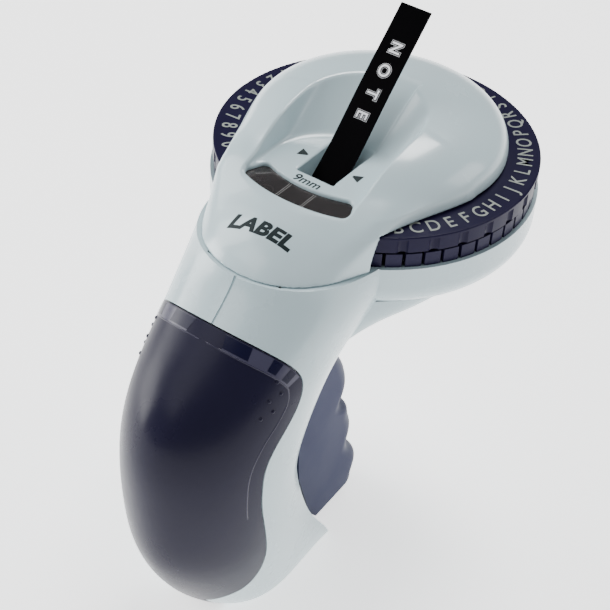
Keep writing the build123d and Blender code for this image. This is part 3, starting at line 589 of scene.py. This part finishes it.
DOOR_TREE = tree_of("tape_door")
DOOR_EDGE = [(-69.3, -18.2), (-63.6, -24.4), (-60.9, -30.2), (-61.9, -35.6), (-65.6, -40.6),
             (-70.4, -45.4), (-73.6, -50.6), (-74.6, -57.0), (-74.4, -63.5), (-73.0, -71.0),
             (-70.9, -80.0), (-69.7, -88.0)]
EDGE_COUNT = 160
DOOR_CATCHES = ((0.0, 0.032), (0.072, 0.098), (0.12, 0.15))  # shares of the edge
RAY_START = 60.0  # further out than the door, mm
LEAST_FACING = 0.02


def door_point(x, z, side, lift):
    """Point of the door seen square from the side, raised by lift mm; None where there is none."""
    hit, normal, _, _ = DOOR_TREE.ray_cast(mm(x, side * RAY_START, z), Vector((0, -side, 0)))
    if hit is None or normal.y * side < LEAST_FACING:
        return None
    return hit + normal * lift * MM


def edge_samples(points, count):
    """Evenly spaced points along a smooth curve through points, with unit normals to its left."""
    steps = np.concatenate([[0], np.cumsum(np.hypot(*np.diff(np.array(points), axis=0).T))])
    table_x = curve_through(list(zip(steps, [p[0] for p in points])))
    table_z = curve_through(list(zip(steps, [p[1] for p in points])))
    places = np.linspace(0, steps[-1], count)
    x, z = np.interp(places, *table_x), np.interp(places, *table_z)
    dx, dz = np.gradient(x), np.gradient(z)
    size = np.hypot(dx, dz)
    return x, z, dz / size, -dx / size


def edge_strip(name, side, near, far, start, end, lift, material, rows, thick=0.0):
    """Strip on the door between two distances from its edge, from one share of it to another."""
    x, z, nx, nz = edge_samples(DOOR_EDGE, EDGE_COUNT)
    columns = []
    for index in range(int(start * (EDGE_COUNT - 1)), int(end * (EDGE_COUNT - 1)) + 1):
        column = []
        for row in range(rows + 1):
            share = row / rows
            reach = near + (far - near) * share
            bulge = thick * math.sin(math.pi * share)
            px, pz = x[index] + nx[index] * reach, z[index] + nz[index] * reach
            point = door_point(px, pz, side, lift + bulge)
            if point is None:
                break
            column.append(point)
        if len(column) == rows + 1:
            columns.append(column)
    vertices = [point for column in columns for point in column]
    faces = []
    for index in range(len(columns) - 1):
        for row in range(rows):
            a = index * (rows + 1) + row
            quad = (a, a + 1, a + rows + 2, a + rows + 1)
            faces.append(quad if side > 0 else quad[::-1])
    piece = mesh_object(name, vertices, faces, material)
    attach(piece, "door")


for side, side_name in ((-1, "right"), (1, "left")):
    edge_strip("door_band_" + side_name, side, 0.3, 4.2, 0.0, 0.165, 0.05, DOOR_BAND, rows=6)
    for number, (start, end) in enumerate(DOOR_CATCHES):
        edge_strip("door_catch_%s_%d" % (side_name, number), side, 0.4, 3.7, start, end, 0.09,
                   DOOR_DARK, rows=5)
    # Raised lip strip in the lighter colour, a painted highlight along the band's inner edge.
    edge_strip("door_lip_highlight_" + side_name, side, 4.1, 4.5, 0.0, 0.7, 0.02, DOOR_LIP_HIGHLIGHT, rows=4,
               thick=0.1)

GRIP_DOTS = [(-67.3, -27.4), (-67.2, -30.5), (-70.5, -31.4), (-70.2, -34.3), (-73.5, -35.1)]
DOT_RINGS, DOT_AROUND = 4, 12
DOT_RADIUS, DOT_HEIGHT, DOT_SINK, DOT_TOP = 0.55, 0.45, 0.06, 0.4


def grip_dots(side, name):
    """Small raised pips on the door's side."""
    vertices, faces = [], []
    for x, z in GRIP_DOTS:
        base = door_point(x, z, side, 0.0)
        normal = (door_point(x, z, side, 1.0) - base).normalized()
        across = normal.orthogonal().normalized()
        up = normal.cross(across)
        first = len(vertices)
        for ring in range(DOT_RINGS):
            tilt = math.pi / 2 * ring / DOT_RINGS
            rise = normal * (math.sin(tilt) * DOT_HEIGHT - DOT_SINK)
            for step in range(DOT_AROUND):
                turn = math.tau * step / DOT_AROUND
                outward = across * math.cos(turn) + up * math.sin(turn)
                vertices.append(base + (outward * math.cos(tilt) * DOT_RADIUS + rise) * MM)
        vertices.append(base + normal * DOT_TOP * MM)
        for ring in range(DOT_RINGS - 1):
            for step in range(DOT_AROUND):
                a = first + ring * DOT_AROUND + step
                b = first + ring * DOT_AROUND + (step + 1) % DOT_AROUND
                faces.append((a, b, b + DOT_AROUND, a + DOT_AROUND))
        last = first + (DOT_RINGS - 1) * DOT_AROUND
        top = last + DOT_AROUND
        faces += [(last + step, last + (step + 1) % DOT_AROUND, top) for step in range(DOT_AROUND)]
    piece = mesh_object(name, vertices, faces, DOOR)
    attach(piece, "door")


grip_dots(-1, "grip_dots_right")
grip_dots(1, "grip_dots_left")


# ---------------------------------------------------------------- embossed tape
TAPE_TREE = tree_of("label_tape")
TAPE_END = mm(13.1, 0, 33.1)
TAPE_ALONG, TAPE_OUT = Vector((0.7193, 0, 0.6947)), Vector((-0.6947, 0, 0.7193))
TAPE_WORD, TAPE_LETTER_HEIGHT = "NOTE", 4.4
TAPE_DISTANCES = (11.7, 18.1, 24.6, 30.6)  # of the letters' middles from the tape's end, mm
TAPE_RAY_START = 6


def tape_letters():
    """Raised letters on the upper end of the tape, stretched white over their edges."""
    layers = (("embossed_rims", 0.4, 0.1, WHITED), ("embossed_slopes", 0.31, 0.2, TAPE),
              ("embossed_crowns", 0.06, 0.32, WHITED))
    made = {name: [] for name, _, _, _ in layers}
    up = Vector((0, -1, 0))
    for character, distance in zip(TAPE_WORD, TAPE_DISTANCES):
        origin = TAPE_END - TAPE_ALONG * distance * MM
        hit, normal, _, _ = TAPE_TREE.ray_cast(origin + TAPE_OUT * TAPE_RAY_START * MM, -TAPE_OUT)
        place = frame_matrix(hit, up.cross(normal), up)
        for name, weight, depth, material in layers:
            letter = text_mesh(name, character, TAPE_LETTER_HEIGHT, depth, material, weight=weight)
            made[name].append(bake(letter, place))
    for name, group in made.items():
        piece = join_meshes(name, group)
        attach(piece, "label")


tape_letters()


# ---------------------------------------------------------------- index lines on the window
LINE_OFFSETS = (-4.0, -3.45, 3.45, 4.0)
LINE_RADII = (33.6, 39.6)
LINE_HALF, LINE_LIFT = 0.05, 0.03


def lens_lines():
    """Two pairs of fine pale lines across the window, either side of its middle."""
    vertices, faces = [], []
    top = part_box("window_lens")[1][2] + LINE_LIFT * MM
    for offset in LINE_OFFSETS:
        first = len(vertices)
        for radius in LINE_RADII:
            for edge in (-LINE_HALF, LINE_HALF):
                x, y, _ = mm(-math.sqrt(radius ** 2 - offset ** 2), offset + edge, 0)
                vertices.append((x, y, top))
        faces.append((first, first + 1, first + 3, first + 2))
    piece = mesh_object("window_lines", vertices, faces, FINE_LINE, smooth=False)
    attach(piece, "casing")


lens_lines()


# ---------------------------------------------------------------- dial lettering
LETTERS = "ABCDEFGHIJKLMNOPQRSTUVWXYZ"
SIGNS = ["&", ".", ",", "-", "/", "!", "?"]
DIGITS = "1234567890"
MORE_SIGNS = ["+", "=", "%", "$", "@", "(", ")", ":", "'", "*", "#"]
CHARACTERS = list(LETTERS) + SIGNS + list(DIGITS) + MORE_SIGNS
FIRST_ANGLE = 214.4
LETTER_RADIUS = 39.1
LETTER_HEIGHT = 5.9
LETTER_DEPTH, LETTER_WEIGHT, LETTER_LIFT = 0.06, 0.02, 0.03
LETTER_NARROWING = 0.84


def ring_letters():
    """Characters printed round the dial's ring, their tops towards its middle."""
    made = []
    pitch = 360.0 / len(CHARACTERS)
    for index, character in enumerate(CHARACTERS):
        angle = math.radians(FIRST_ANGLE + index * pitch)
        out = Vector((math.cos(angle), math.sin(angle), 0))
        spot = out * LETTER_RADIUS
        letter = text_mesh("letter", character, LETTER_HEIGHT, LETTER_DEPTH, LETTER,
                           weight=LETTER_WEIGHT)
        letter.data.transform(Matrix.Diagonal((LETTER_NARROWING, 1.0, 1.0, 1.0)))
        place = frame_matrix(mm(spot.x, spot.y, LETTER_LIFT), (-out.y, out.x, 0), -out)
        made.append(bake(letter, place))
    piece = join_meshes("dial_lettering", made)
    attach(piece, "dial")


ring_letters()


# ---------------------------------------------------------------- springs copied from the CAD model
def working_spring(name, node):
    """Spring of a CAD node's shape as a mesh of its own on the casing, with the CAD node hidden.
    """
    coil = nodes[node]
    vertices = [coil.matrix_world @ v.co for v in coil.data.vertices]
    piece = mesh_object(name, vertices, [list(p.vertices) for p in coil.data.polygons], SPRING)
    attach(piece, "casing")
    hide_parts(node)
    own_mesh(piece)


working_spring("return_spring", "trigger_spring")
working_spring("click_spring", "detent_spring")


# ---------------------------------------------------------------- camera, light and floor
CAMERA_AT = Vector((-238.9, -168.0, 333.6)) * MM
CAMERA_RIGHT = Vector((0.5848, -0.8094, 0.0539))
CAMERA_UP = Vector((0.4962, 0.4095, 0.7656))
CAMERA_LENS, CAMERA_SENSOR = 88.5, 36.0
LIGHT_TARGET = Vector((0.0, 0.0, 0.08))
LIGHTS = (  # name, place in metres, width, height, watts
    ("key", (-0.25, 1.05, 0.85), 0.6, 0.9, 10.0),
    ("left_strip", (-0.4, 0.95, 0.2), 0.5, 0.38, 7.0),
    ("back_fill", (-0.75, 0.4, 0.85), 0.6, 0.6, 3.0),
    ("right_fill", (0.5, -0.8, 0.5), 0.5, 0.5, 3.0),
    ("top", (0.45, 0.1, 0.95), 0.34, 0.34, 8.0),
)
WORLD_COLOR, WORLD_STRENGTH = (0.93, 0.95, 1.0, 1), 0.22
FLOOR_HALF, FLOOR_GLOW = 6.0, 1.5


def make_camera():
    """Camera that shows the photo's view."""
    data = bpy.data.cameras.new("camera")
    data.lens = CAMERA_LENS
    data.sensor_width = CAMERA_SENSOR
    data.clip_start = 0.01
    data.clip_end = 50.0
    camera = bpy.data.objects.new("camera", data)
    bpy.context.scene.collection.objects.link(camera)
    camera.matrix_world = frame_matrix(CAMERA_AT, CAMERA_RIGHT, CAMERA_UP)
    bpy.context.scene.camera = camera


def area_light(name, place, width, height, power):
    """Lamp with a square or oblong face, turned to the middle of the object."""
    data = bpy.data.lights.new(name, "AREA")
    data.energy = power
    data.shape = "RECTANGLE"
    data.size = width
    data.size_y = height
    light = bpy.data.objects.new(name, data)
    light.location = place
    light.rotation_mode = "QUATERNION"
    light.rotation_quaternion = (LIGHT_TARGET - Vector(place)).to_track_quat("-Z", "Y")
    bpy.context.scene.collection.objects.link(light)


make_camera()
for light_values in LIGHTS:
    area_light(*light_values)

world = bpy.data.worlds.new("studio")
world.use_nodes = True
background = world.node_tree.nodes["Background"]
background.inputs["Color"].default_value = WORLD_COLOR
background.inputs["Strength"].default_value = WORLD_STRENGTH
bpy.context.scene.world = world


def make_floor():
    """Large white floor that the object stands on."""
    material, tree, shader = new_material("floor_paper")
    shade = ramp(tree, noise(tree, 3.0), (0.93, 0.93, 0.935), (0.96, 0.96, 0.96))
    tree.links.new(shade, shader.inputs["Base Color"])
    shader.inputs["Roughness"].default_value = 0.8
    shader.inputs["Emission Color"].default_value = (1, 1, 1, 1)
    shader.inputs["Emission Strength"].default_value = FLOOR_GLOW
    corners = [(x * FLOOR_HALF, y * FLOOR_HALF, 0) for x, y in ((-1, -1), (1, -1), (1, 1), (-1, 1))]
    floor = mesh_object("floor", corners, [(0, 1, 2, 3)], material, smooth=False)


make_floor()
